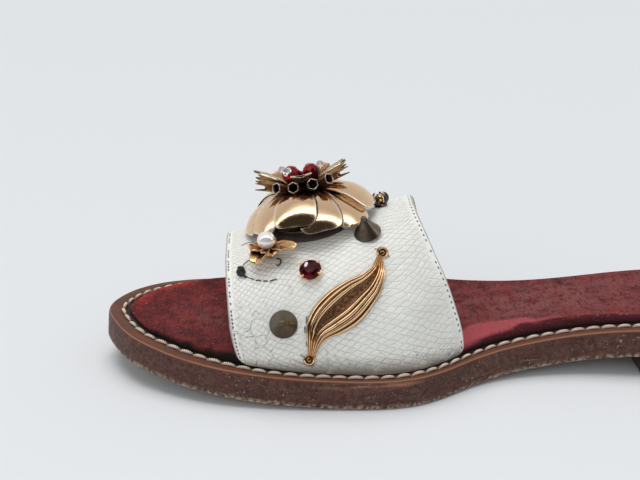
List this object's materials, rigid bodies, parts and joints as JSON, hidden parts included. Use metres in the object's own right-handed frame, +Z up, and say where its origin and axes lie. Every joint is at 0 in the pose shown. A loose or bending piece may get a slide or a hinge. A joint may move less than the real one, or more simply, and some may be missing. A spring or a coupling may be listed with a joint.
{
  "type": "slide sandal",
  "caption": "Right-foot slide sandal with a stitched leather sole, low heel, red suede footbed and one wide white scale-embossed strap carrying brooch ornaments.",
  "frame": {"origin": "on the floor under the middle of the sandal's box", "axes": "+X from toe to heel, +Y towards the outer side of the foot, +Z up"},
  "size_m": [0.2616, 0.097, 0.0733],
  "materials": {
    "sole_leather": "burnished, scuffed",
    "heel_leather": "stacked, burnished",
    "red_suede": "napped, worn",
    "scale_leather": "embossed scales, satin",
    "dark_bronze": "blackened, satin",
    "rose_gold": "plated, polished",
    "old_gold": "plated, darkened in the grooves",
    "yellow_gold": "plated, polished",
    "red_glass": "faceted",
    "clear_glass": "faceted",
    "pearl_plastic": "pearl lustre"
  },
  "bodies": {
    "root": {"outsole": "sole_leather", "heel": "heel_leather", "footbed": "red_suede", "strap": "scale_leather", "flower_post": "dark_bronze", "flower_petals": "rose_gold", "flower_crown": "old_gold", "red_bead_left": "red_glass", "red_bead_right": "red_glass", "clear_bead_left": "clear_glass", "clear_bead_right": "clear_glass", "blossom": "yellow_gold", "pearl": "pearl_plastic", "stone_setting": "yellow_gold", "stone": "red_glass", "leaf_brooch": "old_gold", "cone_stud_top": "dark_bronze", "cone_stud_side": "dark_bronze", "claw_ornament": "dark_bronze"}
  },
  "joints": []
}
